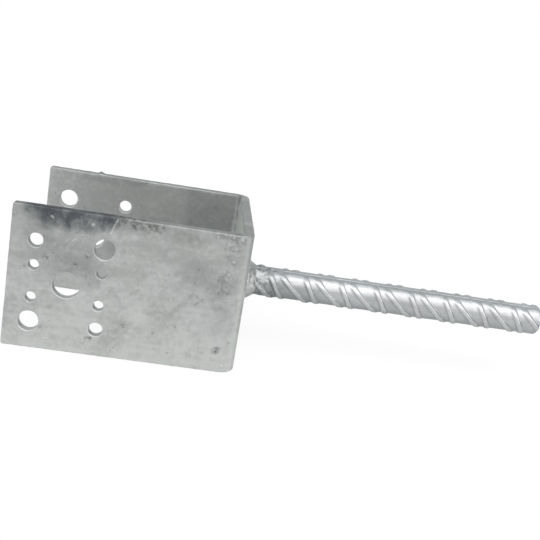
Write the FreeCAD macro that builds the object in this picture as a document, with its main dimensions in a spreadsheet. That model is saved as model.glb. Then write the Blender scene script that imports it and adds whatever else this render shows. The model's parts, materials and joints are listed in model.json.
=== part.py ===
import FreeCAD, Part
import os
from math import pi, radians
import Sketcher

# Timber post base, lying on its side as it comes to rest.  A flat bar is punched and bent into a
# square U that takes the post, and a ribbed reinforcing bar is butt-welded to the middle of its
# underside, to be cast into a concrete footing.  All three pieces are hot-dip galvanised as one.
#
# Frame: the origin is where the bar's axis meets the underside of the U.  +X runs along the bar to
# its free end, the two wings stand at -Y and +Y, and +Z is up across the flat bar's width.

doc = FreeCAD.newDocument("post_base")

# ---------------------------------------------------------------- driving dimensions (mm, degrees)

SIZES = (
    ("strip_width", 70.0, "width of the flat bar"),
    ("strip_thickness", 5.0, "thickness of the flat bar"),
    ("post_gap", 91.0, "clear gap between the wings, 1 mm over the post"),
    ("wing_length", 113.0, "underside of the base to the wing tips"),
    ("bend_radius", 5.0, "inside radius of both bends"),
    ("edge_break", 0.6, "bevel that takes the sharpness off the flat bar's edges"),
    ("tip_margin", 12.0, "wing tip to the first column of holes"),
    ("column_pitch", 16.0, "from one column of holes to the next"),
    ("inner_row", 8.0, "small holes, above and below the pattern's centre"),
    ("outer_row", 20.0, "medium and large holes, above and below the pattern's centre"),
    ("pattern_drop", 1.5, "pattern's centre below the bar's centre line"),
    ("small_hole", 5.0, "diameter of the nail and screw holes"),
    ("medium_hole", 7.0, "diameter of the medium screw holes"),
    ("large_hole", 10.0, "diameter of the bolt holes"),
    ("centre_hole", 13.0, "diameter of the through bolt's hole"),
    ("rod_length", 166.0, "underside of the base to the bar's cut end"),
    ("core_diameter", 15.6, "ribbed bar between its ribs"),
    ("end_bevel", 2.1, "bevel of the cut end, taken from the ribs' crowns"),
    ("ridge_height", 0.5, "lengthwise ridges above the core"),
    ("ridge_width", 2.2, "width of the lengthwise ridges"),
    ("ridge_turn", 19.0, "turn of the ridges from +Z towards -Y"),
    ("rib_height", 1.1, "crescent ribs above the core at their middle"),
    ("rib_head", 1.5, "width of a rib's crown"),
    ("rib_flank", 50.0, "slope of a rib's sides"),
    ("rib_root", 1.6, "depth to which a rib's sides run on inside the core"),
    ("rib_reach", 77.0, "turn from a rib's middle to where it runs out"),
    ("rib_pitch", 9.56, "from one rib to the next in a row"),
    ("rib_lead", 2.5, "weld's toe to the first front rib, on the bar's axis"),
    ("rib_slip", 0.5, "back row's ribs, nearer the base than the front row's"),
    ("rib_swing", 13.0, "turn from where a rib leans most to its middle"),
    ("steep_tilt", 29.0, "first kind of rib, out of square with the bar"),
    ("slant_tilt", 46.5, "second kind of rib, out of square with the bar"),
    ("weld_run", 6.0, "leg of the weld along the bar"),
    ("weld_rise", 4.4, "leg of the weld on the base"),
    ("weld_bulge", 0.2, "bulge of the weld's face in its middle"),
)

sheet = doc.addObject("Spreadsheet::Sheet", "sizes")
sheet.Label = "sizes"
for row, (alias, value, meaning) in enumerate(SIZES, start=1):
    sheet.set(f"A{row}", meaning)
    sheet.set(f"B{row}", str(value))
    sheet.setAlias(f"B{row}", alias)
doc.recompute()


def size(alias):
    """The value that the sheet holds now, for a sketch's first drawing and for counts."""
    return float(sheet.get(alias))


def plane(body, role):
    """One of a body's own origin planes or axes."""
    return next(o for o in body.Origin.OriginFeatures if o.Role == role)


def sketch_on(body, name, role):
    """An empty sketch that lies flat on one of the body's origin planes."""
    sketch = body.newObject("Sketcher::SketchObject", name)
    sketch.AttachmentSupport = [(plane(body, role), "")]
    sketch.MapMode = "FlatFace"
    return sketch


def bind(sketch, kind, *where, to):
    """Adds a dimension to a sketch and ties its value to an expression on the sheet."""
    value = float(sketch.evalExpression(to))
    at = sketch.addConstraint(Sketcher.Constraint(kind, *where, value))
    sketch.setExpression(f"Constraints[{at}]", to)


def vec(x, y, z=0.0):
    return FreeCAD.Vector(x, y, z)


# ------------------------------------------------------------------------------------- the saddle

START, END, CENTRE = 1, 2, 3        # which point of a sketch's line or arc
ORIGIN = (-1, START)
X_AXIS, Y_AXIS = -1, -2


def u_profile(sketch):
    """Closed outline of the bent bar, seen along its edge: outer face, tips and inner face."""
    thick, tip, bend = size("strip_thickness"), -size("wing_length"), size("bend_radius")
    inside = size("post_gap") / 2
    outside = inside + thick
    outer_bend = bend + thick

    def run(x0, y0, x1, y1):
        return sketch.addGeometry(Part.LineSegment(vec(x0, y0), vec(x1, y1)), False)

    def corner(x, y, radius, first, last):
        circle = Part.Circle(vec(x, y), vec(0, 0, 1), radius)
        return sketch.addGeometry(Part.ArcOfCircle(circle, radians(first), radians(last)), False)

    # the outer face, from the near tip round to the far tip
    near_out = run(tip, -outside, -outer_bend, -outside)
    near_out_bend = corner(-outer_bend, outer_bend - outside, outer_bend, 270, 360)
    base_out = run(0, outer_bend - outside, 0, outside - outer_bend)
    far_out_bend = corner(-outer_bend, outside - outer_bend, outer_bend, 0, 90)
    far_out = run(-outer_bend, outside, tip, outside)
    far_tip = run(tip, outside, tip, inside)
    # the inner face, back from the far tip to the near tip
    far_in = run(tip, inside, -thick - bend, inside)
    far_in_bend = corner(-thick - bend, inside - bend, bend, 0, 90)
    base_in = run(-thick, inside - bend, -thick, bend - inside)
    near_in_bend = corner(-thick - bend, bend - inside, bend, 270, 360)
    near_in = run(-thick - bend, -inside, tip, -inside)
    near_tip = run(tip, -inside, tip, -outside)

    for first, first_end, second, second_end in (
        (near_out, END, near_out_bend, START),
        (near_out_bend, END, base_out, START),
        (base_out, END, far_out_bend, START),
        (far_out_bend, END, far_out, START),
        (far_in, END, far_in_bend, END),
        (far_in_bend, START, base_in, START),
        (base_in, END, near_in_bend, END),
        (near_in_bend, START, near_in, START),
    ):
        sketch.addConstraint(Sketcher.Constraint("Tangent", first, first_end, second, second_end))
    for first, second in ((far_out, far_tip), (far_tip, far_in), (near_in, near_tip), (near_tip, near_out)):
        sketch.addConstraint(Sketcher.Constraint("Coincident", first, END, second, START))
    for wing_line in (near_out, near_in, far_out, far_in):
        sketch.addConstraint(Sketcher.Constraint("Horizontal", wing_line))
    for cross_line in (near_tip, far_tip, base_in, base_out):
        sketch.addConstraint(Sketcher.Constraint("Vertical", cross_line))
    sketch.addConstraint(Sketcher.Constraint("PointOnObject", base_out, START, Y_AXIS))
    sketch.addConstraint(Sketcher.Constraint("Symmetric", near_in, END, far_in, START, X_AXIS))

    bind(sketch, "DistanceX", near_out, START, *ORIGIN, to="sizes.wing_length")
    bind(sketch, "DistanceX", base_in, START, *ORIGIN, to="sizes.strip_thickness")
    bind(sketch, "DistanceY", near_in, END, far_in, START, to="sizes.post_gap")
    bind(sketch, "DistanceY", near_out, START, near_in, END, to="sizes.strip_thickness")
    bind(sketch, "DistanceY", far_in, START, far_out, END, to="sizes.strip_thickness")
    for inner, outer in ((near_in_bend, near_out_bend), (far_in_bend, far_out_bend)):
        bind(sketch, "Radius", inner, to="sizes.bend_radius")
        bind(sketch, "Radius", outer, to="sizes.bend_radius + sizes.strip_thickness")


NO_LENGTH = 1e-6                    # below this, an edge's box is flat


def break_edges(body, pad):
    """A narrow bevel on the flat bar's long edges and round both tips."""
    half_width, tip = size("strip_width") / 2, -size("wing_length")
    sharp = []
    for number, edge in enumerate(pad.Shape.Edges, start=1):
        box = edge.BoundBox
        along_side = box.ZLength < NO_LENGTH and abs(abs(box.ZMin) - half_width) < NO_LENGTH
        across_tip = box.XLength < NO_LENGTH and abs(box.XMin - tip) < NO_LENGTH
        if along_side or across_tip:
            sharp.append(f"Edge{number}")
    bevel = body.newObject("PartDesign::Chamfer", "edge_bevel")
    bevel.Base = (pad, sharp)
    bevel.setExpression("Size", "sizes.edge_break")


def punch(body, name, holes, wings):
    """Punches round holes, given as (column, row, diameter), through one wing or both."""
    sketch = sketch_on(body, name + "_sketch", "XZ_Plane")
    for column, row, diameter in holes:
        distance_in = size("tip_margin") + column * size("column_pitch")
        x = distance_in - size("wing_length")
        z = row[0] * size(row[1]) - size("pattern_drop") if row else -size("pattern_drop")
        hole = sketch.addGeometry(Part.Circle(vec(x, z), vec(0, 0, 1), size(diameter) / 2), False)
        bind(sketch, "Diameter", hole, to=f"sizes.{diameter}")
        bind(sketch, "DistanceX", hole, CENTRE, *ORIGIN,
             to=f"sizes.wing_length - sizes.tip_margin - {column} * sizes.column_pitch")
        rise = f"{row[0]} * sizes.{row[1]} - sizes.pattern_drop" if row else "-sizes.pattern_drop"
        bind(sketch, "DistanceY", *ORIGIN, hole, CENTRE, to=rise)
    pocket = body.newObject("PartDesign::Pocket", name)
    pocket.Profile = sketch
    pocket.Type = "ThroughAll"
    if wings == "both":
        pocket.Midplane = True
    else:
        pocket.Reversed = wings == "near"
    body.Tip = pocket
    doc.recompute()
    return pocket


saddle = doc.addObject("PartDesign::Body", "saddle")
saddle.Label = "saddle"
saddle.Placement = FreeCAD.Placement()
doc.recompute()

profile = sketch_on(saddle, "bent_bar_profile", "XY_Plane")
u_profile(profile)
bent_bar = saddle.newObject("PartDesign::Pad", "bent_bar")
bent_bar.Profile = profile
bent_bar.Midplane = True
bent_bar.setExpression("Length", "sizes.strip_width")
doc.recompute()
break_edges(saddle, bent_bar)
doc.recompute()

# One press tool punches both wings before the bar is bent, so that the far wing's columns come in
# the same order along the bar, and face the near wing's the other way round.
TIP_COLUMN, MIDDLE, BASE_COLUMN = 0, 1, 2
HIGH, LOW = (1, "outer_row"), (-1, "outer_row")
HALF_HIGH, HALF_LOW = (1, "inner_row"), (-1, "inner_row")
through = [(MIDDLE, None, "centre_hole")]
through += [(c, r, "small_hole") for c in (TIP_COLUMN, BASE_COLUMN) for r in (HALF_HIGH, HALF_LOW)]
near = [(TIP_COLUMN, HIGH, "medium_hole"), (TIP_COLUMN, LOW, "large_hole"),
        (BASE_COLUMN, HIGH, "large_hole"), (BASE_COLUMN, LOW, "medium_hole")]
far = [(TIP_COLUMN, HIGH, "large_hole"), (TIP_COLUMN, LOW, "medium_hole"),
       (BASE_COLUMN, HIGH, "medium_hole"), (BASE_COLUMN, LOW, "large_hole")]


CUT_ERROR = 0.5                     # cubic mm, by which a punching may miss its volume


def punched_volume(holes, wings):
    """What a punching takes away, to prove that it cut the wings that it should."""
    return sum(pi / 4 * size(d) ** 2 for _, _, d in holes) * size("strip_thickness") * wings


for name, holes, wings in (("through_holes", through, "both"),
                           ("near_wing_holes", near, "near"), ("far_wing_holes", far, "far")):
    before = saddle.Shape.Volume
    punch(saddle, name, holes, wings)
    cut = before - saddle.Shape.Volume
    if abs(cut - punched_volume(holes, 2 if wings == "both" else 1)) > CUT_ERROR:
        raise RuntimeError(f"{name} took away {cut:.1f} mm3")

# ----------------------------------------------------------------------------------- the weld bead

weld = doc.addObject("PartDesign::Body", "weld_fillet")
weld.Label = "weld_fillet"
weld.Placement = FreeCAD.Placement()
doc.recompute()


def weld_profile(sketch):
    """Half section of the bead: its root corner, a leg on each piece and a face with a ridge."""
    root, run, rise = size("core_diameter") / 2, size("weld_run"), size("weld_rise")
    bulge = size("weld_bulge")
    corners = (vec(0, root), vec(run, root), vec(run / 2 + bulge, root + rise / 2 + bulge),
               vec(0, root + rise))
    on_bar, outer_face, inner_face, on_base = [
        sketch.addGeometry(Part.LineSegment(first, second), False)
        for first, second in zip(corners, corners[1:] + corners[:1])]
    for first, second in ((on_bar, outer_face), (outer_face, inner_face),
                          (inner_face, on_base), (on_base, on_bar)):
        sketch.addConstraint(Sketcher.Constraint("Coincident", first, END, second, START))
    sketch.addConstraint(Sketcher.Constraint("Horizontal", on_bar))
    sketch.addConstraint(Sketcher.Constraint("Vertical", on_base))
    sketch.addConstraint(Sketcher.Constraint("PointOnObject", on_bar, START, Y_AXIS))
    bind(sketch, "DistanceY", *ORIGIN, on_bar, START, to="sizes.core_diameter / 2")
    bind(sketch, "DistanceX", on_bar, START, on_bar, END, to="sizes.weld_run")
    bind(sketch, "DistanceY", on_base, END, on_base, START, to="sizes.weld_rise")
    bind(sketch, "DistanceX", on_bar, START, outer_face, END, to="sizes.weld_run / 2 + sizes.weld_bulge")
    bind(sketch, "DistanceY", on_bar, START, outer_face, END, to="sizes.weld_rise / 2 + sizes.weld_bulge")


bead_profile = sketch_on(weld, "bead_profile", "XY_Plane")
weld_profile(bead_profile)
bead = weld.newObject("PartDesign::Revolution", "bead")
bead.Profile = bead_profile
bead.ReferenceAxis = (bead_profile, ["H_Axis"])
bead.Angle = 360
doc.recompute()

# ------------------------------------------------------------------------------ the ribbed bar

ALONG_X = FreeCAD.Rotation(vec(0, 1), 90)       # turns a primitive's own +Z to lie along the bar

CORE = "sizes.core_diameter / 2"
CROWN = "(sizes.core_diameter / 2 + sizes.rib_height)"
# A rib's crown is an arc of a smaller circle set off the bar's axis, which meets the core where the
# rib runs out, so the rib is highest in its middle and fades away at both ends.
OFFSET = (f"(({CROWN} ^ 2 - ({CORE}) ^ 2)"
          f" / (2 * ({CROWN} - {CORE} * cos(sizes.rib_reach * 1deg))))")


def solid(kind, name, sizes, x="0", y="0", z="0", rotation=ALONG_X):
    """A Part primitive whose sizes and place are tied to the sheet."""
    primitive = doc.addObject(kind, name)
    primitive.Placement = FreeCAD.Placement(vec(0, 0), rotation)
    for prop, expression in sizes.items():
        primitive.setExpression(prop, expression)
    for axis, expression in (("x", x), ("y", y), ("z", z)):
        primitive.setExpression(f"Placement.Base.{axis}", expression)
    return primitive


# A leaning rib runs round the bar on an ellipse: a larger circle set back from the rib fits it.
FIT_TO_ELLIPSE = 0.7                # share of the full set-back that fits best over the rib's length


def rib_disc(name, x, tilt):
    """Two cones foot to foot, square to the rib: their slopes are the rib's sides."""
    lean = FreeCAD.Rotation(vec(0, 0, 1), tilt)
    back = f"({FIT_TO_ELLIPSE} * {CORE} * tan({tilt} * 1deg) ^ 2)"
    foot = f"({back} + {CROWN} + sizes.rib_head / 2 * tan(sizes.rib_flank * 1deg))"
    inner = f"({back} + {CORE} - sizes.rib_root)"
    cones = []
    for side, turn in (("fore", 90), ("aft", -90)):
        cones.append(solid(
            "Part::Cone", f"{name}_{side}",
            {"Radius1": foot, "Radius2": inner,
             "Height": f"({foot} - {inner}) / tan(sizes.rib_flank * 1deg)"},
            x=x, z=f"-{back}", rotation=lean * FreeCAD.Rotation(vec(0, 1), turn)))
    disc = doc.addObject("Part::Fuse", name)
    disc.Base, disc.Tool = cones
    return disc


def rib_row(name, turn, slip, tilts):
    """One row of crescent ribs, whose two kinds take turns, with its middle turned from +Z."""
    first = f"sizes.weld_run + sizes.rib_lead - {slip}"
    past_end = size("rod_length") + size("core_diameter") - size("weld_run") - size("rib_lead")
    count = int(past_end / size("rib_pitch")) + 1
    discs = doc.addObject("Part::MultiFuse", name + "_discs")
    discs.Shapes = [rib_disc(f"{name}_rib_{k}", f"{first} + {k} * sizes.rib_pitch", tilts[k % 2])
                    for k in range(count)]
    discs.Placement = FreeCAD.Placement(vec(0, 0), FreeCAD.Rotation(vec(1, 0), -size("rib_swing")))
    crown = solid("Part::Cylinder", name + "_crown",
                  {"Radius": f"{CROWN} - {OFFSET}", "Height": "sizes.rod_length - sizes.weld_run"},
                  x="sizes.weld_run", z=OFFSET)
    ribs = doc.addObject("Part::Common", name)
    ribs.Base, ribs.Tool = crown, discs
    ribs.Placement = FreeCAD.Placement(vec(0, 0), FreeCAD.Rotation(vec(1, 0), turn))
    return ribs


def ridges():
    """The two lengthwise ridges that part the rows: one flat through the bar, crowned round."""
    reach = f"({CORE} + sizes.ridge_height)"
    turned = FreeCAD.Rotation(vec(1, 0), size("ridge_turn"))
    web = doc.addObject("Part::Box", "ridge_web")
    web.setExpression("Length", "sizes.rod_length - sizes.weld_run")
    web.setExpression("Width", "sizes.ridge_width")
    web.setExpression("Height", f"2 * {reach}")
    web.Placement = FreeCAD.Placement()
    web.setExpression("Placement.Base.x", "sizes.weld_run")
    web.setExpression("Placement.Base.y", "-sizes.ridge_width / 2")
    web.setExpression("Placement.Base.z", f"-{reach}")
    crown = solid("Part::Cylinder", "ridge_crown", {"Radius": reach, "Height": "sizes.rod_length"})
    pair = doc.addObject("Part::Common", "ridges")
    pair.Base, pair.Tool = web, crown
    pair.Placement = FreeCAD.Placement(vec(0, 0), turned)
    return pair


core = solid("Part::Cylinder", "core", {"Radius": CORE, "Height": "sizes.rod_length"})
ridge_pair = ridges()
SQUARE_TO_RIDGES = 90
STEEP, SLANT = size("steep_tilt"), size("slant_tilt")
front_ribs = rib_row("front_ribs", size("ridge_turn") + SQUARE_TO_RIDGES, "0", (SLANT, STEEP))
back_ribs = rib_row("back_ribs", size("ridge_turn") - SQUARE_TO_RIDGES, "sizes.rib_slip",
                    (-STEEP, -SLANT))
ribbed = doc.addObject("Part::MultiFuse", "ribbed_bar")
ribbed.Shapes = [core, ridge_pair, front_ribs, back_ribs]

# the cut end: everything past it goes, and its rim and the last ribs are rounded off
cut_bar = doc.addObject("PartDesign::Body", "cut_bar_room")
doc.recompute()


def cut_profile(sketch):
    """Half section of the room that the cut bar fills, with its free end's rim bevelled."""
    length, bevel = size("rod_length"), size("end_bevel")
    crown = size("core_diameter") / 2 + size("rib_height")
    corners = (vec(0, 0), vec(length, 0), vec(length, crown - bevel), vec(length - bevel, crown),
               vec(0, crown))
    axis, end, rim, side, root = [
        sketch.addGeometry(Part.LineSegment(first, second), False)
        for first, second in zip(corners, corners[1:] + corners[:1])]
    sketch.addConstraint(Sketcher.Constraint("Coincident", *ORIGIN, axis, START))
    for first, second in ((axis, end), (end, rim), (rim, side), (side, root), (root, axis)):
        sketch.addConstraint(Sketcher.Constraint("Coincident", first, END, second, START))
    for level in (axis, side):
        sketch.addConstraint(Sketcher.Constraint("Horizontal", level))
    for upright in (end, root):
        sketch.addConstraint(Sketcher.Constraint("Vertical", upright))
    bind(sketch, "DistanceX", axis, START, axis, END, to="sizes.rod_length")
    bind(sketch, "DistanceY", root, END, root, START, to=CROWN)
    bind(sketch, "DistanceX", rim, END, rim, START, to="sizes.end_bevel")
    bind(sketch, "DistanceY", rim, START, rim, END, to="sizes.end_bevel")


room_profile = sketch_on(cut_bar, "cut_bar_profile", "XY_Plane")
cut_profile(room_profile)
room = cut_bar.newObject("PartDesign::Revolution", "cut_bar_turned")
room.Profile = room_profile
room.ReferenceAxis = (room_profile, ["H_Axis"])
room.Angle = 360
doc.recompute()

rod = doc.addObject("Part::Common", "anchor_rod")
rod.Base, rod.Tool = ribbed, cut_bar
rod.Label = "anchor_rod"
rod.Placement = FreeCAD.Placement()
doc.recompute()

# ------------------------------------------------------------------------------ checks and output

for item in doc.Objects:
    if "Invalid" in item.State or "Error" in item.State:
        raise RuntimeError(f"{item.Label} failed: {item.State}")

os.makedirs("parts", exist_ok=True)
for piece in (saddle, rod, weld):
    shape = piece.Shape
    if shape.isNull() or not shape.isValid() or len(shape.Solids) != 1:
        raise RuntimeError(f"{piece.Label} is not one sound solid")
    shape.exportStep(f"parts/{piece.Label}.step")
    print(f"{piece.Label}: {shape.Volume / 1000:.2f} cm3, {len(shape.Faces)} faces")
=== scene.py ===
"""Timber post base: the finish of the hot-dip galvanised steel, and a small studio round it."""

import json
import math

import bmesh
import bpy
import numpy as np
from mathutils import Matrix, Vector, noise
from mathutils.geometry import delaunay_2d_cdt


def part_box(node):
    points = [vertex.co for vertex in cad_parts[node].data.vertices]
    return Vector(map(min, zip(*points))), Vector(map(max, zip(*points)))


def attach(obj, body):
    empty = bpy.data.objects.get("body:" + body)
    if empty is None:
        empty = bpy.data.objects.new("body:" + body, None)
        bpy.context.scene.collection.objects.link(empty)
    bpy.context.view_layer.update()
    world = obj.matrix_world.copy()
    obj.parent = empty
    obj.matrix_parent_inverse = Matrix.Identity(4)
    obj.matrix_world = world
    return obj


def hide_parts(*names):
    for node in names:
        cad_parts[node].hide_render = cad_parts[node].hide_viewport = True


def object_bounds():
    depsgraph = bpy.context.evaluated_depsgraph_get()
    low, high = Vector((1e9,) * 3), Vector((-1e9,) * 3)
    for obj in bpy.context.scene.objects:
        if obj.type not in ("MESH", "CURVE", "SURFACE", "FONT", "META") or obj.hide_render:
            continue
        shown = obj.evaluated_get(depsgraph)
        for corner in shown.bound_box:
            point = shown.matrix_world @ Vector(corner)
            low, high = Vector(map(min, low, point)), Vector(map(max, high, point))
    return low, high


bl_info = {
    "name": "Galvanised Post Base",
    "version": (1, 0, 0),
    "blender": (4, 5, 0),
    "location": "3D View > Sidebar > Post Base",
    "description": "Dresses a welded timber post base in hot-dip zinc and sets a studio round it",
    "category": "Object",
}

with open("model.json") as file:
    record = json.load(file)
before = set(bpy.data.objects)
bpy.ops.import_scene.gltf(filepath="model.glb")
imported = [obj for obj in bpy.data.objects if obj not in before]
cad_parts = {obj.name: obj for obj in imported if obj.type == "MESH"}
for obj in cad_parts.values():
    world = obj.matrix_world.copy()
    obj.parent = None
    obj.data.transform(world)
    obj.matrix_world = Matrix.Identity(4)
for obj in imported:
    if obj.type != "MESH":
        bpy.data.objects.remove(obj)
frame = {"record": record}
CAD_BOX = [list(corner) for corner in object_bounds()]
SADDLE_LOW, SADDLE_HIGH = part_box("saddle")
ROD_LOW, ROD_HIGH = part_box("anchor_rod")
WELD_LOW, WELD_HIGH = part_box("weld_fillet")
MOUNTS = {mount["name"]: mount for mount in frame["record"]["mounts"]}

MM = 0.001
QUARTER = math.pi / 2


# ------------ what a user changes


def metres(name, description, default, **limits):
    """A setting that is a length."""
    return bpy.props.FloatProperty(name=name, description=description, default=default,
                                   unit="LENGTH", **limits)


def degrees(name, description, default):
    """A setting that is an angle."""
    return bpy.props.FloatProperty(name=name, description=description,
                                   default=math.radians(default), unit="ROTATION")


def tint(name, description, default):
    """A setting that is a colour."""
    return bpy.props.FloatVectorProperty(name=name, description=description, default=default,
                                         subtype="COLOR", size=3, min=0, max=1)


class SaddleSettings(bpy.types.PropertyGroup):
    """The bent flat bar."""

    thickness: metres("Thickness", "Thickness of the flat bar", 5 * MM, min=1 * MM)
    bend_radius: metres("Bend radius", "Inside radius of both bends", 3 * MM, min=1 * MM)
    edge_round: metres("Edge rounding", "Radius that the zinc leaves on the bar's edges", 0.8 * MM)
    corner_round: metres("Corner rounding", "Radius of the wings' corners, seen flat on", 1.2 * MM)
    rim_round: metres("Rim rounding", "Radius on the rims of the punched holes", 0.6 * MM)
    zinc_film: metres("Zinc film", "Coat that narrows the larger holes", 0.12 * MM)
    mesh_step: metres("Mesh step", "Spacing of the points on the flats", 1.0 * MM, min=0.5 * MM)
    swell: metres("Zinc swell", "How far the coat rises and falls along the flats", 0.05 * MM)
    zinc_lumps: metres("Zinc lumps", "Height of the rough zinc by the near bend", 0.45 * MM)


class BarSettings(bpy.types.PropertyGroup):
    """The ribbed bar."""

    core_radius: metres("Core radius", "Radius of the bar between its ribs", 7.8 * MM)
    rib_height: metres("Rib height", "Height of a rib in its middle", 1.1 * MM)
    rib_head: metres("Rib crown", "Width of a rib's crown", 1.3 * MM)
    rib_foot: metres("Rib foot", "Width of a rib where it meets the core", 3.5 * MM)
    rib_reach: degrees("Rib reach", "Turn from a rib's middle to where it runs out", 77)
    rib_pitch: metres("Rib pitch", "From one rib to the next", 9.56 * MM)
    first_rib: metres("First rib", "Base's underside to the first rib of the front row", 8.5 * MM)
    rib_slip: metres("Rib slip", "Back row's ribs, nearer the base than the front row's", 0.5 * MM)
    rib_swing: degrees("Rib swing", "Turn from where a rib leans most to its middle", 13)
    steep_tilt: degrees("Steep tilt", "Steep ribs, out of square with the bar", 29)
    slant_tilt: degrees("Slant tilt", "Slanted ribs, out of square with the bar", 46.5)
    rib_middle: degrees("Rib middle", "Turn from the top to the front row's middle", 109)
    ridge_turn: degrees("Ridge turn", "Turn from the top to the first lengthwise ridge", 10)
    ridge_height: metres("Ridge height", "Lengthwise ridges above the core", 0.3 * MM)
    ridge_width: metres("Ridge width", "Width of the lengthwise ridges", 2.2 * MM)
    end_short: metres("End short", "How far the cut end stays inside the plan's length", 1.3 * MM)
    end_round: metres("End rounding", "Rounding of the cut end", 1.8 * MM)


class ZincSettings(bpy.types.PropertyGroup):
    """Colours of the zinc."""

    plate_colour: tint("Plate", "Zinc on the flat bar", (0.640, 0.655, 0.642))
    bar_colour: tint("Ribbed bar", "Brighter zinc on the ribbed bar", (0.80, 0.81, 0.82))
    # This colour also paints the shade along the ribs' feet.
    stain_and_shade_colour: tint("Stain", "Dark blue-grey stain", (0.16, 0.175, 0.19))


class StudioSettings(bpy.types.PropertyGroup):
    """Camera and lamps."""

    camera_place: bpy.props.FloatVectorProperty(
        name="Camera place", description="Where the camera stands", subtype="TRANSLATION", size=3,
        default=(-32.2 * MM, -462.1 * MM, 134.6 * MM), unit="LENGTH")
    camera_heading: degrees("Heading", "Camera's turn from +Y towards +X", 5.75)
    camera_dip: degrees("Dip", "How far the camera looks down", 15.42)
    camera_roll: degrees("Roll", "How far the camera leans over", 9.82)
    lens: bpy.props.FloatProperty(
        name="Lens", description="Focal length", default=60.1, subtype="DISTANCE_CAMERA")


SETTINGS = {
    "post_base_saddle": SaddleSettings,
    "post_base_bar": BarSettings,
    "post_base_zinc": ZincSettings,
    "post_base_studio": StudioSettings,
}


# ------------ small mesh helpers


def piece_from(name, verts, faces, material, node):
    """A finished piece: smooth shaded, on the body, in place of its CAD node."""
    mesh = bpy.data.meshes.new(name)
    mesh.from_pydata([tuple(v) for v in verts], [], faces)
    mesh.validate()
    mesh.shade_smooth()
    mesh.materials.append(material)
    piece = bpy.data.objects.new(name, mesh)
    bpy.context.scene.collection.objects.link(piece)
    face_outwards(mesh)
    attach(piece, "root")
    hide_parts(node)
    return piece


def face_outwards(mesh):
    """Turns every face to look out of the closed mesh."""
    work = bmesh.new()
    work.from_mesh(mesh)
    bmesh.ops.recalc_face_normals(work, faces=work.faces)
    work.to_mesh(mesh)
    work.free()


def swell_at(point, size, seed):
    """Smooth rise and fall of the coat at a point, from -1 to 1, over lumps of a given size."""
    return noise.noise(Vector(point) / size + Vector((seed, seed * 0.7, -seed)))


def paint(mesh, name, values):
    """A mask on the mesh's points, which a material reads by name."""
    layer = mesh.attributes.new(name, "FLOAT", "POINT")
    layer.data.foreach_set("value", np.asarray(values, np.float32))


def band(first, second):
    """Quads that join two closed rings of as many points."""
    count = len(first)
    return [(first[k], first[(k + 1) % count], second[(k + 1) % count], second[k])
            for k in range(count)]


def smooth_step(value, low, high):
    """0 below the low end, 1 above the high one, and smooth between."""
    share = np.clip((value - low) / (high - low), 0, 1)
    return share * share * (3 - 2 * share)


def bell(value, width):
    """1 at zero, falling off to each side over the width."""
    return np.exp(-(value / width) ** 2)


# ------------ the bent flat bar


NEAR, FAR = False, True             # the two wings, as BentBar tells them apart


class BentBar:
    """Maps a place on the unbent bar, as along, across and up from its middle, to one on the U."""

    def __init__(self, settings):
        self.thick = settings.thickness
        self.bend = settings.bend_radius + self.thick / 2
        self.half_width = SADDLE_HIGH.z
        self.wall = SADDLE_HIGH.y - self.thick / 2
        self.straight = -SADDLE_LOW.x - settings.bend_radius - self.thick
        self.arc = self.bend * QUARTER
        self.base = 2 * (self.wall - self.bend)
        self.length = 2 * (self.straight + self.arc) + self.base

    def place(self, along, across, up):
        """The point at a distance along the bar from the near tip; up is towards the outside."""
        turn_x = -self.thick / 2 - self.bend
        turn_y = self.base / 2
        far = along > self.length / 2
        left = self.length - along if far else along
        side = 1 if far else -1
        if left < self.straight:
            return Vector((SADDLE_LOW.x + left, side * (self.wall + up), across))
        left -= self.straight
        if left < self.arc:
            angle = left / self.bend
            reach = self.bend + up
            return Vector((turn_x + reach * math.sin(angle),
                           side * (turn_y + reach * math.cos(angle)), across))
        left -= self.arc
        return Vector((-self.thick / 2 + up, side * (turn_y - left), across))

    def along_of(self, x, far):
        """Distance along the bar of a place on a wing, given by its x."""
        left = x - SADDLE_LOW.x
        return self.length - left if far else left


def punched_holes(bar):
    """Every hole of the record, as (distance along the bar, height, radius)."""
    holes = []
    for mount in MOUNTS.values():
        x, y, z = mount["pos_m"]
        sides = (NEAR, FAR) if mount["name"] == "through_bolt_hole" else (y > 0,)
        if mount["kind"] == "bore":
            holes += [(bar.along_of(x, far), z, mount["dims"]["r_mm"] * MM) for far in sides]
        elif mount["kind"] == "bolt_pattern":
            dx = mount["dims"]["spacing_x_mm"] * MM / 2
            dz = mount["dims"]["spacing_y_mm"] * MM / 2
            for sx, sz in ((-1, -1), (-1, 1), (1, -1), (1, 1)):
                holes.append((bar.along_of(x + sx * dx, y > 0), z + sz * dz,
                              mount["dims"]["hole_r_mm"] * MM))
    return holes


def spread(start, end, step):
    """Evenly spaced values between two ends, both left out."""
    count = max(1, round((end - start) / step))
    return [start + (end - start) * k / count for k in range(1, count)]


CORNER_STEPS = 4                    # points round a corner of the outline


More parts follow.
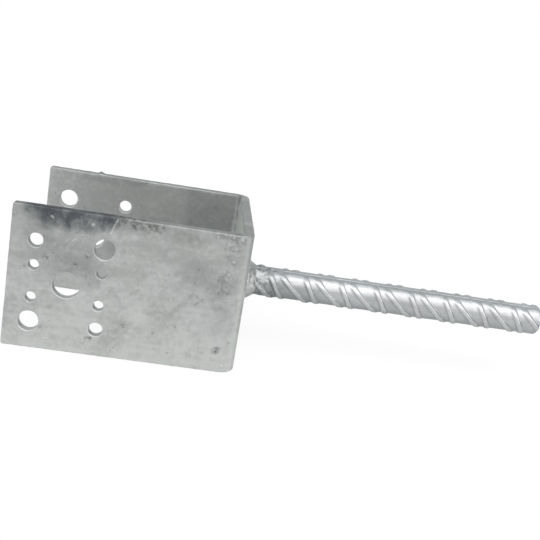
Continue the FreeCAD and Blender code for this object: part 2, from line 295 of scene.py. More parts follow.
def outline_loop(bar, settings):
    """The bar's rounded rectangle, as (point, outward direction), inset by the edge rounding."""
    inset = settings.edge_round
    corner = settings.corner_round
    radius = corner - inset
    step = settings.mesh_step
    low_x, high_x = corner, bar.length - corner
    low_z, high_z = corner - bar.half_width, bar.half_width - corner
    loop = []

    def arc(cx, cz, first):
        for k in range(CORNER_STEPS + 1):
            angle = first + QUARTER * k / CORNER_STEPS
            out = Vector((math.cos(angle), math.sin(angle)))
            loop.append((Vector((cx, cz)) + out * radius, out))

    def run(start, end, out):
        length = (end - start).length
        loop.extend((start + (end - start) * (s / length), out) for s in spread(0, length, step))

    reach = Vector((0, radius))
    side = Vector((radius, 0))
    arc(high_x, low_z, -QUARTER)
    run(Vector((high_x, low_z)) + side, Vector((high_x, high_z)) + side, Vector((1, 0)))
    arc(high_x, high_z, 0)
    run(Vector((high_x, high_z)) + reach, Vector((low_x, high_z)) + reach, Vector((0, 1)))
    arc(low_x, high_z, QUARTER)
    run(Vector((low_x, high_z)) - side, Vector((low_x, low_z)) - side, Vector((-1, 0)))
    arc(low_x, low_z, 2 * QUARTER)
    run(Vector((low_x, low_z)) - reach, Vector((high_x, low_z)) - reach, Vector((0, -1)))
    return loop


LEAST_RIM_POINTS, RIM_STEP = 28, 0.55 * MM
RAGGED = 0.02                       # how far a rim strays from round, as a share of its radius
SMALL_HOLE = 3 * MM                 # up to this radius the zinc leaves a hole's size as it is


def hole_loop(hole, settings):
    """A hole's rim as (point, direction into the hole), set back by the rim rounding."""
    along, height, radius = hole
    count = max(LEAST_RIM_POINTS, int(2 * math.pi * radius / RIM_STEP))
    loop = []
    for k in range(count):
        angle = 2 * math.pi * k / count
        out = Vector((math.cos(angle), math.sin(angle)))
        ragged = 1 + RAGGED * noise.noise(Vector((out.x, out.y, along / MM)) * 1.4)
        film = settings.zinc_film if radius > SMALL_HOLE else 0
        point = Vector((along, height)) + out * (radius * ragged + settings.rim_round - film)
        loop.append((point, -out))
    return loop


# Drops of zinc left on the wings: wing, x and z of the middle, radius and height in millimetres.
# A negative height is a pit where the steel took no zinc.
DROPS = (
    (NEAR, -95.9, 10.8, 1.1, -0.56), (NEAR, -81.8, 9.0, 1.1, -0.56),
    (NEAR, -76.4, 14.6, 1.3, 0.56), (NEAR, -95.3, -23.8, 0.9, -0.48),
    (NEAR, -56.4, -17.8, 0.9, -0.48), (NEAR, -72.2, -26.8, 1.2, -0.48),
    (NEAR, -74.6, -28.4, 1.0, 0.48), (NEAR, -10.2, -23.2, 1.3, -0.8),
    (NEAR, -8.4, 21.2, 1.3, 0.8), (NEAR, -17.5, 32.4, 1.0, 0.48),
    (NEAR, -112.0, 30.0, 1.3, 0.48), (NEAR, -10.0, 33.2, 1.1, 0.64),
    (NEAR, -92.0, 28.5, 1.0, 0.4), (NEAR, -73.0, 30.5, 1.1, 0.4),
    (NEAR, -6.4, -31.6, 1.0, 0.48), (FAR, -100.0, 30.5, 1.3, 0.4),
    (FAR, -60.0, 12.0, 1.0, 0.4), (FAR, -30.0, -12.0, 1.2, 0.48),
    (FAR, -78.0, -30.0, 1.3, 0.48),
)
DROP_RINGS = ((0.3, 6), (0.6, 10), (0.9, 14))   # mesh points round a drop: share of it, count
FINE_ZONE = (11 * MM, 6 * MM, -6 * MM)          # finer mesh: before and past the bend, above a z
ROUND_STEPS, WALL_STEPS = 4, 4      # rings round an edge, and down the wall between two edges


def build_saddle_mesh(settings):
    """Points and faces of the whole bent bar, and masks of its edges and of its holes' rims, the
    latter for painted light.
    """
    bar = BentBar(settings)
    holes = punched_holes(bar)
    loops = [(outline_loop(bar, settings), settings.edge_round)]
    loops += [(hole_loop(hole, settings), settings.rim_round) for hole in holes]

    flat, edges = [], []
    for loop, _ in loops:
        first = len(flat)
        flat += [point for point, _ in loop]
        edges += [(first + k, first + (k + 1) % len(loop)) for k in range(len(loop))]

    step = settings.mesh_step
    bend_start, bend_end = bar.straight, bar.straight + bar.arc
    far_start, far_end = bar.length - bend_end, bar.length - bend_start
    columns = (spread(0, bend_start, step) + [bend_start]
               + spread(bend_start, bend_end, step / 2) + [bend_end]
               + spread(bend_end, far_start, step) + [far_start]
               + spread(far_start, far_end, step / 2) + [far_end]
               + spread(far_end, bar.length, step))
    rows = spread(-bar.half_width, bar.half_width, step)
    margin = settings.edge_round + step * 0.45

    def outside_holes(along, height, gap):
        return all(math.hypot(along - a, height - b) > r + gap for a, b, r in holes)

    def is_clear(along, height):
        """Whether a place lies well inside the outline and outside the holes."""
        return (margin < along < bar.length - margin and abs(height) < bar.half_width - margin
                and outside_holes(along, height, settings.rim_round + step * 0.5))

    flat += [Vector((along, height)) for along in columns for height in rows
             if is_clear(along, height)]
    before, past, lowest = FINE_ZONE
    flat += [Vector((along, height))
             for along in spread(bend_start - before, bend_start + past, step / 2)
             for height in spread(lowest, bar.half_width, step / 2)
             if is_clear(along, height)]
    for wing, x, z, radius, _ in DROPS:
        middle = Vector((bar.along_of(x * MM, wing), z * MM))
        for share, count in DROP_RINGS:
            for k in range(count):
                angle = 2 * math.pi * k / count
                point = middle + Vector((math.cos(angle), math.sin(angle))) * (radius * MM * share)
                if is_clear(point.x, point.y):
                    flat.append(point)

    points, _, triangles, sources, _, _ = delaunay_2d_cdt(flat, edges, [], 0, 1e-9)
    new_index = {old: new for new, olds in enumerate(sources) for old in olds}
    kept = []
    for triangle in triangles:
        middle = sum((points[i] for i in triangle), Vector((0, 0))) / 3
        if outside_holes(middle.x, middle.y, settings.rim_round * 0.9):
            kept.append(tuple(triangle))

    half, count = bar.thick / 2, len(points)
    verts = [bar.place(p.x, p.y, up) for up in (half, -half) for p in points]
    edge_mask, hole_mask = [0.0] * len(verts), [0.0] * len(verts)
    faces = kept + [tuple(count + i for i in reversed(t)) for t in kept]

    start = 0
    for number, (loop, radius) in enumerate(loops):
        previous = [new_index[start + k] for k in range(len(loop))]
        bottom = [count + i for i in previous]
        start += len(loop)
        wall = half - radius
        turns = [QUARTER * k / ROUND_STEPS for k in range(1, ROUND_STEPS + 1)]
        rounded = [(radius * math.sin(a), half - radius * (1 - math.cos(a))) for a in turns]
        straight = [(radius, wall - 2 * wall * k / WALL_STEPS) for k in range(1, WALL_STEPS)]
        for reach, up in rounded + straight + [(reach, -up) for reach, up in reversed(rounded)]:
            ring = list(range(len(verts), len(verts) + len(loop)))
            for point, out in loop:
                place = point + out * reach
                verts.append(bar.place(place.x, place.y, up))
            edge_mask += [1.0] * len(loop)
            hole_mask += [float(number > 0)] * len(loop)
            faces += band(previous, ring)
            previous = ring
        faces += band(previous, bottom)
    return verts, faces, edge_mask, hole_mask


DROP_FOOT = 0.25                    # width of the painted shade ring round a drop's foot, in the drop's radii


def drop_height(point):
    """Height of the drops and pits at a point of either wing's outer face, and how near the point
    lies to the foot of one, which sets the painted shade there."""
    height, foot = 0.0, 0.0
    for wing, x, z, radius, rise in DROPS:
        face = SADDLE_HIGH.y if wing == FAR else SADDLE_LOW.y
        away = (point - Vector((x * MM, face, z * MM))).length / (radius * MM)
        if away < 1:
            height += rise * MM * (1 - away ** 2) ** 2
        # Painted shade: a dark ring round the foot of each drop and pit.
        foot = max(foot, 0.5 * bell(away - 1, DROP_FOOT))
    return height, foot


# Curled ridges of zinc near the bend: x, z, radius and how much taller than wide, in mm.
CURLS = ((-10.3, 10.4, 2.0, 1.8), (-10.8, 26.4, 1.8, 1.2), (-8.0, 29.6, 1.6, 1.0),
         (-7.2, 32.4, 1.1, 1.0))
CURL_WIDTH, CURL_STRAY = 0.55, 2.5  # width of a ridge, and how far it wanders off its ring, in mm
CREVICE_WIDTH, CREVICE_GAP = 0.6, 0.8           # the painted shade line beside a ridge, in mm
# Folds of zinc: where they set in and fade along x, where they set in up z, and the middle and
# width of the smooth stripe between them, in mm.
FOLDS_FROM, FOLDS_TO, FOLDS_ABOVE, STRIPE, STRIPE_WIDTH = (-19, -14), (-7, -3), (-4, 4), 17, 3.5
NIB = Vector((-84.6 * MM, SADDLE_HIGH.y - 2.5 * MM, SADDLE_HIGH.z))
NIB_RADIUS, NIB_HEIGHT = 2.4 * MM, 1.3 * MM


def rough_zinc(point, amount):
    """Rough zinc on the near wing, where it starts to bend, and a nib on the far edge: its height
    at a point, and how deep the point lies in a crevice, which sets the painted shade there."""
    height, crevice = 0.0, 0.0
    if point.y < SADDLE_LOW.y + 2.5 * MM and point.x > -22 * MM:
        x, z = point.x / MM, point.z / MM
        folded = smooth_step(x, *FOLDS_FROM) * (1 - smooth_step(x, *FOLDS_TO))
        folded *= smooth_step(z, *FOLDS_ABOVE) * (1 - bell(z - STRIPE, STRIPE_WIDTH))
        folds = 1 - abs(swell_at(point, 3.6 * MM, 31.0)) * 3
        height += 0.6 * amount * folded * max(folds, 0) ** 2
        stray = CURL_STRAY * swell_at(point, 2.6 * MM, 17.0)
        for middle_x, middle_z, radius, tall in CURLS:
            away = math.hypot(x - middle_x, (z - middle_z) / tall) - radius + stray
            height += 0.8 * amount * bell(away, CURL_WIDTH)
            # Painted shade in the crevice beside the ridge.
            crevice = max(crevice, bell(away - CREVICE_GAP, CREVICE_WIDTH))
        crevice *= smooth_step(swell_at(point, 1.8 * MM, 9.0), -0.35, 0.35)
    nib = (point - NIB).length / NIB_RADIUS
    if nib < 1:
        height += NIB_HEIGHT * (1 - nib ** 2) * (0.6 + 0.8 * swell_at(point, 1.2 * MM, 2.0))
    return height, crevice


def raise_zinc(piece, settings, edge_mask):
    """Lets the coat rise and fall on the finished mesh, more at the edges than on the flats."""
    mesh, amount = piece.data, settings.swell
    normals = np.zeros(len(mesh.vertices) * 3, np.float32)
    mesh.vertex_normals.foreach_get("vector", normals)
    normals = normals.reshape(-1, 3)
    crevices = []
    for vertex, normal, edge in zip(mesh.vertices, normals, edge_mask):
        broad = swell_at(vertex.co, 14 * MM, 3.0)
        fine = swell_at(vertex.co, 3.2 * MM, 8.0)
        lift = amount * (broad * 0.9 + fine * (0.35 + 1.8 * edge))
        drop, foot = drop_height(vertex.co)
        rough, crevice = rough_zinc(vertex.co, settings.zinc_lumps)
        lift += drop + rough
        crevices.append(max(foot, crevice))
        vertex.co += Vector(normal) * lift
    # The crevice mask: painted shade beside the ridges and round the drops' feet.
    paint(mesh, "crevice", crevices)
    mesh.update()


# ------------ the ribbed bar


FOOT_SHADE_LINE = 0.45 * MM               # width of the painted shade line along a rib's foot
BAR_AROUND, BAR_STEP = 160, 0.36 * MM           # points in a ring, and from ring to ring
CAP_STEPS, CAP_SHARES = 8, (0.75, 0.5, 0.25)    # rings of the rounded end, and on its flat
CAP_DISH = 0.06 * MM                # how far the cut end lies in
ROUGH_START = 13 * MM               # length of the lumpy zinc past the weld


def outward(angle):
    """Direction out from the bar's axis, at a turn from +Z to -Y."""
    return Vector((0, -math.sin(angle), math.cos(angle)))


def crescent(bar, angle):
    """Height of a rib at a turn from its middle: an off-centre circle over the core."""
    core, crown = bar.core_radius, bar.core_radius + bar.rib_height
    offset = (crown ** 2 - core ** 2) / (2 * (crown - core * math.cos(bar.rib_reach)))
    radius = crown - offset
    across = np.clip(offset * np.sin(angle), -radius, radius)
    height = offset * np.cos(angle) + np.sqrt(radius ** 2 - across ** 2) - core
    return np.where(np.abs(angle) < bar.rib_reach, np.maximum(height, 0), 0)


def rib_field(bar, x, turn):
    """Height of ribs and ridges above the core, and how near the foot of a rib it is for the
    painted shade there, at a place along the bar and a turn from +Z to -Y."""
    height, foot = np.zeros_like(x), np.zeros_like(x)
    front, back = bar.rib_middle, bar.rib_middle - math.pi
    rows = ((front, bar.first_rib, 1, (bar.slant_tilt, bar.steep_tilt)),
            (back, bar.first_rib - bar.rib_slip, -1, (bar.steep_tilt, bar.slant_tilt)))
    for row, first, lean, tilts in rows:
        angle = (turn - row + math.pi) % (2 * math.pi) - math.pi
        crown = crescent(bar, angle)
        lateral = lean * (bar.core_radius + crown) * np.sin(angle + bar.rib_swing)
        for k in range(int((ROD_HIGH.x + 2 * bar.core_radius - first) / bar.rib_pitch) + 1):
            tilt = tilts[k % 2]
            along = x - first - k * bar.rib_pitch - lateral * math.tan(tilt)
            away = np.abs(along) * math.cos(tilt)
            side = 1 - smooth_step(away, bar.rib_head / 2, bar.rib_foot / 2)
            height = np.maximum(height, crown * side)
            # Painted shade along the rib's foot.
            line = bell(away - bar.rib_foot * 0.47, FOOT_SHADE_LINE)
            foot = np.maximum(foot, line * np.clip(crown / bar.rib_height * 1.6, 0, 1))
    clear_of_weld = smooth_step(x, WELD_HIGH.x - 1.5 * MM, WELD_HIGH.x + 1.5 * MM)
    height, foot = height * clear_of_weld, foot * clear_of_weld
    for middle in (bar.ridge_turn, bar.ridge_turn + math.pi):
        angle = (turn - middle + math.pi) % (2 * math.pi) - math.pi
        away = np.abs(angle) * bar.core_radius
        fall = smooth_step(away, bar.ridge_width * 0.2, bar.ridge_width * 0.65)
        height = np.maximum(height, bar.ridge_height * (1 - fall))
    return height, foot


def build_bar_mesh(bar):
    """Rings of points along the ribbed bar, closed by a rounded cut end, and masks for the painted
    shade along the ribs' feet and the painted highlight on their crests."""
    start, end = 1 * MM, ROD_HIGH.x - bar.end_short
    rings = int((end - bar.end_round - start) / BAR_STEP)
    sections = [(x, 1.0) for x in np.linspace(start, end - bar.end_round, rings)]
    for k in range(1, CAP_STEPS + 1):
        angle = QUARTER * k / CAP_STEPS
        sections.append((end - bar.end_round * (1 - math.sin(angle)), math.cos(angle)))
    turn = np.arange(BAR_AROUND) * 2 * math.pi / BAR_AROUND
    outwards = [outward(angle) for angle in turn]
    verts, feet, crests, faces = [], [], [], []
    previous = None
    for x, share in sections:
        height, foot = rib_field(bar, np.full(BAR_AROUND, x), turn)
        capped = bar.core_radius - bar.end_round * (1 - share) + height * share
        near_weld = max(0.0, 1 - (x - WELD_HIGH.x) / ROUGH_START)
        ring = list(range(len(verts), len(verts) + BAR_AROUND))
        for out, radius in zip(outwards, capped):
            place = Vector((x, 0, 0)) + out * radius
            lump = (0.07 * swell_at(place, 2.4 * MM, 21.0) + 0.10 * swell_at(place, 8 * MM, 5.0)
                    + near_weld * 0.50 * swell_at(place, 2.0 * MM, 40.0)) * MM
            verts.append(place + out * lump * share)
        feet.extend(foot)
        crests.extend(height / bar.rib_height)
        if previous:
            faces += band(previous, ring)
        previous = ring
    for share in CAP_SHARES:
        ring = list(range(len(verts), len(verts) + BAR_AROUND))
        for out in outwards:
            place = Vector((end, 0, 0)) + out * (bar.core_radius - bar.end_round) * share
            place.x += swell_at(place, 4 * MM, 2.0) * 0.08 * MM - CAP_DISH
            verts.append(place)
        faces += band(previous, ring)
        previous = ring
    for x, rim in ((end - CAP_DISH, previous), (start, list(range(BAR_AROUND)))):
        middle = len(verts)
        verts.append(Vector((x, 0, 0)))
        faces += [(rim[k], rim[(k + 1) % BAR_AROUND], middle) for k in range(BAR_AROUND)]
    unmarked = [0.0] * (len(verts) - len(feet))
    return verts, faces, feet + unmarked, crests + unmarked


# ------------ the weld


TOE_SPREAD, RISE_SPREAD = 1.25, 1.08            # zinc past the bead's toe and its top
WELD_AROUND, WELD_PROFILE = 220, 26             # points round the bead, and across it
WELD_RIPPLES = 21


def build_weld_mesh(bar):
    """The bead round the bar's foot: a ring with a wavy toe, faint ripples and a grainy skin."""
    run, rise = WELD_HIGH.x * TOE_SPREAD, (WELD_HIGH.z - bar.core_radius) * RISE_SPREAD
    outwards = [outward(2 * math.pi * k / WELD_AROUND) for k in range(WELD_AROUND)]
    verts = []
    for k, out in enumerate(outwards):
        toe = run * (1 + 0.09 * swell_at(out, 0.5, 6.0))
        top = rise * (1 + 0.10 * swell_at(out, 0.7, 16.0))
        ripple = math.cos(2 * math.pi * k / WELD_AROUND * WELD_RIPPLES
                          + 2.2 * swell_at(out, 0.8, 4.0))
        for j in range(WELD_PROFILE):
            share = j / (WELD_PROFILE - 1)
            middle = math.sin(math.pi * share)
            radius = bar.core_radius - 0.15 * MM + top * (1 - share) ** 1.25
            lift = (0.55 + 0.07 * ripple) * MM * middle
            place = Vector((toe * share ** 1.15 + lift * 0.6, 0, 0)) + out * (radius + lift * 0.8)
            grain = 0.16 * swell_at(place, 1.8 * MM, 12.0) + 0.10 * swell_at(place, 4 * MM, 3.0)
            verts.append(place + (out + Vector((0.8, 0, 0))) * grain * middle * MM)
    back = list(range(len(verts), len(verts) + WELD_AROUND))
    verts += [out * (bar.core_radius - 0.4 * MM) for out in outwards]
    rings = [list(range(j, back[0], WELD_PROFILE)) for j in range(WELD_PROFILE)]
    faces = []
    for first, second in zip([back] + rings, rings + [back]):
        faces += band(first, second)
    return verts, faces


# ------------ zinc materials


class Nodes:
    """Short calls for adding and joining a node tree's nodes."""

    def __init__(self, tree):
        self.tree = tree

    def add(self, kind, **values):
        node = self.tree.nodes.new(kind)
        for name, value in values.items():
            setattr(node, name, value)
        return node

    def feed(self, node, **inputs):
        """Sets a node's inputs, given by name with _ for a space, to values or other sockets."""
        for name, value in inputs.items():
            self.put(node.inputs[name.replace("_", " ")], value)
        return node

    def put(self, socket, value):
        if isinstance(value, bpy.types.NodeSocket):
            self.tree.links.new(value, socket)
        else:
            socket.default_value = value

    def noise(self, where, scale, detail=3.0, roughness=0.55, distortion=0.0, output="Fac"):
        node = self.add("ShaderNodeTexNoise")
        self.feed(node, Vector=where, Scale=scale, Detail=detail, Roughness=roughness,
                  Distortion=distortion)
        return node.outputs[output]

    def cells(self, where, scale, output="Distance"):
        node = self.add("ShaderNodeTexVoronoi")
        self.feed(node, Vector=where, Scale=scale)
        return node.outputs[output]

    def math(self, operation, first, second=0.0, clamp=False):
        node = self.add("ShaderNodeMath", operation=operation, use_clamp=clamp)
        self.put(node.inputs[0], first)
        self.put(node.inputs[1], second)
        return node.outputs[0]

    def ramp(self, value, low, high, to_low=0.0, to_high=1.0):
        """Maps a value smoothly from one range to another and holds it there."""
        node = self.add("ShaderNodeMapRange", interpolation_type="SMOOTHSTEP")
        self.feed(node, Value=value, From_Min=low, From_Max=high, To_Min=to_low, To_Max=to_high)
        return node.outputs["Result"]

    def mix(self, share, first, second):
        node = self.add("ShaderNodeMix", data_type="RGBA")
        self.put(node.inputs[0], share)
        self.put(node.inputs[6], first)
        self.put(node.inputs[7], second)
        return node.outputs[2]

    def vector(self, operation, first, second, output="Vector"):
        node = self.add("ShaderNodeVectorMath", operation=operation)
        self.put(node.inputs[0], first)
        self.put(node.inputs["Scale" if operation == "SCALE" else 1], second)
        return node.outputs[output]

    def blend(self, value, stops):
        """A colour for each value between 0 and 1, given as (value, colour) stops."""
        node = self.add("ShaderNodeValToRGB")
        elements = node.color_ramp.elements
        elements[0].position, elements[1].position = stops[0][0], stops[-1][0]
        for position, _ in stops[1:-1]:
            elements.new(position)
        for element, (_, colour) in zip(elements, stops):
            element.color = (*colour, 1.0)
        self.put(node.inputs["Fac"], value)
        return node.outputs["Color"]

    def attribute(self, name):
        return self.add("ShaderNodeAttribute", attribute_name=name).outputs["Fac"]

    def stretch(self, where, scale, turn=(0.0, 0.0, 0.0)):
        node = self.add("ShaderNodeMapping")
        self.feed(node, Vector=where, Scale=scale, Rotation=turn)
        return node.outputs["Vector"]

    def parts(self, where):
        """The X, Y and Z of a vector."""
        return self.feed(self.add("ShaderNodeSeparateXYZ"), Vector=where).outputs

    def group(self, name, **inputs):
        """One of the shared node groups with its inputs set."""
        node = self.add("ShaderNodeGroup", node_tree=shared_group(name))
        return self.feed(node, **inputs).outputs


def emptied(block):
    """The calls to fill the node tree of a material or a world, which is emptied first."""
    block.use_nodes = True
    block.node_tree.nodes.clear()
    return Nodes(block.node_tree)


def group_with(name, inputs, outputs):
    """An empty shader node group with named sockets, and the calls to fill it."""
    tree = bpy.data.node_groups.new(name, "ShaderNodeTree")
    for socket, kind, value in inputs:
        made = tree.interface.new_socket(name=socket, in_out="INPUT", socket_type=kind)
        if value is not None:
            made.default_value = value
    for socket, kind in outputs:
        tree.interface.new_socket(name=socket, in_out="OUTPUT", socket_type=kind)
    nodes = Nodes(tree)
    entry = nodes.add("NodeGroupInput").outputs
    end = nodes.add("NodeGroupOutput")
    return tree, nodes, entry, end


def zinc_mottle_group():
    """Cloudy tone of a zinc coat: soft clouds, faint crystals and fine grain, around one half."""
    tree, n, entry, end = group_with(
        "zinc_mottle",
        [("Place", "NodeSocketVector", None), ("Clouds", "NodeSocketFloat", 1.0),
         ("Crystals", "NodeSocketFloat", 1.0)],
        [("Tone", "NodeSocketFloat"), ("Crystal", "NodeSocketFloat")])
    clouds = n.noise(entry["Place"], 55.0, 4.0, 0.6, 0.6)
    patches = n.noise(entry["Place"], 240.0, 3.0, 0.6, 1.2)
    crystal_colour = n.cells(entry["Place"], 520.0, "Color")
    crystal = n.feed(n.add("ShaderNodeSeparateColor"), Color=crystal_colour).outputs[0]
    cloud_part = n.math("MULTIPLY", n.math("SUBTRACT", clouds, 0.5), entry["Clouds"])
    slant = n.stretch(entry["Place"], (30.0, 60.0, 190.0), (0, math.radians(40), 0))
    streaks = n.noise(slant, 1.0, 3.0, 0.6, 0.5)
    both = n.math("ADD", patches, n.math("MULTIPLY", streaks, 1.6))
    patch_part = n.math("MULTIPLY", n.math("SUBTRACT", both, 1.3), 0.28)
    crystal_part = n.math("MULTIPLY", n.math("SUBTRACT", crystal, 0.5),
                          n.math("MULTIPLY", entry["Crystals"], 0.16))
    tone = n.math("ADD", n.math("ADD", cloud_part, patch_part), n.math("ADD", crystal_part, 0.5))
    n.put(end.inputs["Tone"], tone)
    n.put(end.inputs["Crystal"], crystal)
    return tree


def zinc_relief_group():
    """Height of the coat's skin: slow waves, orange peel, pimples and pits, in millimetres."""
    tree, n, entry, end = group_with(
        "zinc_relief",
        [("Place", "NodeSocketVector", None), ("Waves", "NodeSocketFloat", 1.0),
         ("Peel", "NodeSocketFloat", 1.0), ("Pimples", "NodeSocketFloat", 1.0)],
        [("Height", "NodeSocketFloat"), ("Pits", "NodeSocketFloat")])
    waves = n.math("MULTIPLY", n.noise(entry["Place"], 90.0, 2.0, 0.5), entry["Waves"])
    peel = n.math("MULTIPLY", n.noise(entry["Place"], 900.0, 3.0, 0.6), entry["Peel"])
    pimple = n.math("MULTIPLY", n.ramp(n.cells(entry["Place"], 110.0), 0.16, 0.05),
                    entry["Pimples"])
    pits = n.ramp(n.cells(entry["Place"], 150.0), 0.10, 0.04)
    height = n.math("ADD", n.math("ADD", waves, peel), pimple)
    n.put(end.inputs["Height"], n.math("SUBTRACT", height, n.math("MULTIPLY", pits, 0.5)))
    n.put(end.inputs["Pits"], pits)
    return tree


def scratch_group():
    """Fine handling scratches that run in two directions, in patches."""
    tree, n, entry, end = group_with(
        "handling_scratches", [("Place", "NodeSocketVector", None)],
        [("Scratches", "NodeSocketFloat")])
    found = 0.0
    for turn, seed in (((0, math.radians(38), 0), 11.0), ((0, math.radians(-52), 0), 29.0)):
        lines = n.noise(n.stretch(entry["Place"], (40.0, 700.0, 1900.0), turn), 1.0, 2.0, 0.5)
        patch = n.noise(n.stretch(entry["Place"], (seed, seed, seed)), 2.0, 1.0, 0.5)
        line = n.math("MULTIPLY", n.ramp(lines, 0.66, 0.74), n.ramp(patch, 0.50, 0.62))
        found = n.math("MAXIMUM", line, found)
    n.put(end.inputs["Scratches"], found)
    return tree


def mark_group():
    """A soft mark from one place to another, such as a smear, a stain or a scratch."""
    tree, n, entry, end = group_with(
        "zinc_mark",
        [("Place", "NodeSocketVector", None), ("Start", "NodeSocketVector", None),
         ("End", "NodeSocketVector", None), ("Radius", "NodeSocketFloat", 1 * MM),
         ("Softness", "NodeSocketFloat", 1 * MM)],
        [("Mask", "NodeSocketFloat")])
    reach = n.vector("SUBTRACT", entry["Place"], entry["Start"])
    line = n.vector("SUBTRACT", entry["End"], entry["Start"])
    share = n.math("DIVIDE", n.vector("DOT_PRODUCT", reach, line, "Value"),
                   n.vector("DOT_PRODUCT", line, line, "Value"), clamp=True)
    away = n.vector("SUBTRACT", reach, n.vector("SCALE", line, share))
    distance = n.vector("LENGTH", away, (0.0, 0.0, 0.0), "Value")
    mask = n.ramp(distance, n.math("ADD", entry["Radius"], entry["Softness"]),
                  n.math("SUBTRACT", entry["Radius"], entry["Softness"]))
    n.put(end.inputs["Mask"], mask)
    return tree


GROUP_MAKERS = {"zinc_mottle": zinc_mottle_group, "zinc_relief": zinc_relief_group,
                "handling_scratches": scratch_group, "zinc_mark": mark_group}


def shared_group(name):
    """One of the node groups that every zinc finish uses, built once."""
    return bpy.data.node_groups.get(name) or GROUP_MAKERS[name]()


FACE = (-50.5, -50.5)               # the near wing's outer face
EDGE = (-48.5, -48.5)               # the near wing's upper edge and outer face together
INNER = (45.5, 45.5)                # the far wing's inner face
BASE = (38, -38)                    # the base's inner face, from the far wing towards the near one
# Marks on the plate: y, start and end (x, z), radius, softness and strength, in millimetres.
# Dark blue-grey stains, and painted shade on the far wing's inner face towards its bend.
BLUE_STAINS_AND_SHADE = (
    (EDGE, (-101, 33), (-88, 31.5), 5.4, 4.5, 0.93), (EDGE, (-113, 35), (-100, 35), 1.4, 1.2, 0.5),
    (EDGE, (-92, 33), (-68, 33), 4.9, 4.0, 0.93), (FACE, (-84, 29), (-76, 28), 3.0, 4.0, 0.7),
    (FACE, (-95, 20), (-82, 7), 8.0, 7.0, 0.22), (FACE, (-25, 11), (-13, 7), 7.0, 6.0, 0.20),
    (FACE, (-20, 6), (-12, -8), 7.0, 6.0, 0.13),
    (FACE, (-11.7, -7.5), (-11.7, -7.5), 1.4, 0.9, 0.3),
    # The first mark on the next line is painted shade on the far wing's inner face.
    (INNER, (-18, 34), (-20, -30), 16.0, 3.0, 0.16), (INNER, (-92, 33), (-60, 33), 2.0, 2.0, 0.2),
)
DARK_MARKS = (
    (EDGE, (-63, 33.5), (-52, 32), 3.4, 2.2, 0.85),
    (EDGE, (-52, 33.5), (-44, 32.5), 2.6, 1.2, 0.9),
    (EDGE, (-44, 34.5), (-8, 34.5), 2.3, 1.2, 0.3), (FACE, (-36, 31), (-26, 30), 3.0, 3.0, 0.3),
    (FACE, (-33.8, -7.3), (-28.7, -2.0), 0.8, 1.0, 0.35),
    (FACE, (-28.7, -2.0), (-24.9, 3.4), 0.6, 0.8, 0.25),
    (FACE, (-24.9, 3.4), (-20.0, -0.4), 0.6, 0.8, 0.4),
    (FACE, (-23.5, -2), (-20.3, 1.2), 0.6, 0.6, 0.4), (FACE, (-74.5, 6), (-72, 3), 3.4, 2.2, 0.25),
    (FACE, (-10.8, -24), (-9.8, -23.4), 1.3, 1.3, 0.85),
    (FACE, (-95.9, 10.8), (-95, 10.6), 0.7, 0.5, 0.7),
    (FACE, (-81.8, 9), (-81.6, 9), 0.7, 0.5, 0.8),
    (FACE, (-76.9, 14), (-76.7, 13.8), 0.7, 0.5, 0.7),
    (FACE, (-95.3, -23.8), (-95.3, -24), 0.5, 0.4, 0.7),
    (FACE, (-56.4, -17.8), (-56.2, -18), 0.5, 0.4, 0.6),
    (FACE, (-73, -26.5), (-71, -26), 0.7, 0.6, 0.7),
    (FACE, (-91.9, -13.2), (-91.7, -13.4), 1.0, 0.8, 0.25),
    (FACE, (-18, 33.5), (-9, 33), 1.4, 1.6, 0.35), (FACE, (-11.5, 12), (-11.5, 5), 1.6, 2.0, 0.2),
)
# Light scratches, and painted highlights on the base's inner face and along the near bend.
SCRATCHES_AND_HIGHLIGHTS = (
    (FACE, (-64.5, 34), (-67, 27), 0.35, 0.5, 0.5),
    (FACE, (-88, 14.3), (-80.5, 26.3), 0.1, 0.25, 0.55),
    (FACE, (-86.8, 14.6), (-79.8, 25.5), 0.1, 0.25, 0.5),
    (FACE, (-89.5, 17), (-84, 23), 0.1, 0.2, 0.4), (FACE, (-95, 31), (-94, 30.5), 0.5, 0.4, 0.5),
    (FACE, (-76, 30), (-75.5, 29.6), 0.6, 0.4, 0.5),
    (INNER, (-61.8, 14.4), (-41.9, 32.3), 1.2, 2.2, 0.14),
    (INNER, (-57, 14), (-45, 24), 0.5, 1.2, 0.14),
    (INNER, (-32.5, 17.7), (-21, 33), 0.6, 1.4, 0.12),
    (INNER, (-28, 16), (-18, 30), 0.4, 1.0, 0.10), (INNER, (-104, 27), (-98, 31), 0.4, 0.8, 0.25),
    # Painted highlight on the base's inner face.
    (BASE, (-4, 28), (-4, 28), 5.8, 1.2, 1.0), (BASE, (-4, 20), (-4, 20), 6.0, 1.0, 1.0),
    (BASE, (-4, 12), (-4, 12), 6.0, 1.0, 1.0),
    # Painted highlight along the outer face of the near bend.
    ((-47.5, -47.5), (-2.8, 33), (-2.8, -33), 1.3, 1.6, 0.5),
)


def marked(n, place, marks):
    """The strongest of several marks, each given as the y of its start and end, its start and end
    (x, z), radius, softness and strength, in millimetres."""
    found = 0.0
    for (start_y, stop_y), start, stop, radius, softness, strength in marks:
        mask = n.group("zinc_mark", Place=place,
                       Start=(start[0] * MM, start_y * MM, start[1] * MM),
                       End=(stop[0] * MM, stop_y * MM, stop[1] * MM),
                       Radius=radius * MM, Softness=softness * MM)["Mask"]
        found = n.math("MAXIMUM", n.math("MULTIPLY", mask, strength), found)
    return found


def strayed(n, place, scale, detail, reach):
    """A place moved about by noise, which makes a mark's edges ragged."""
    cloud = n.noise(place, scale, detail, 0.6, output="Color")
    away = n.vector("SUBTRACT", cloud, (0.5, 0.5, 0.5))
    return n.vector("ADD", place, n.vector("SCALE", away, reach))


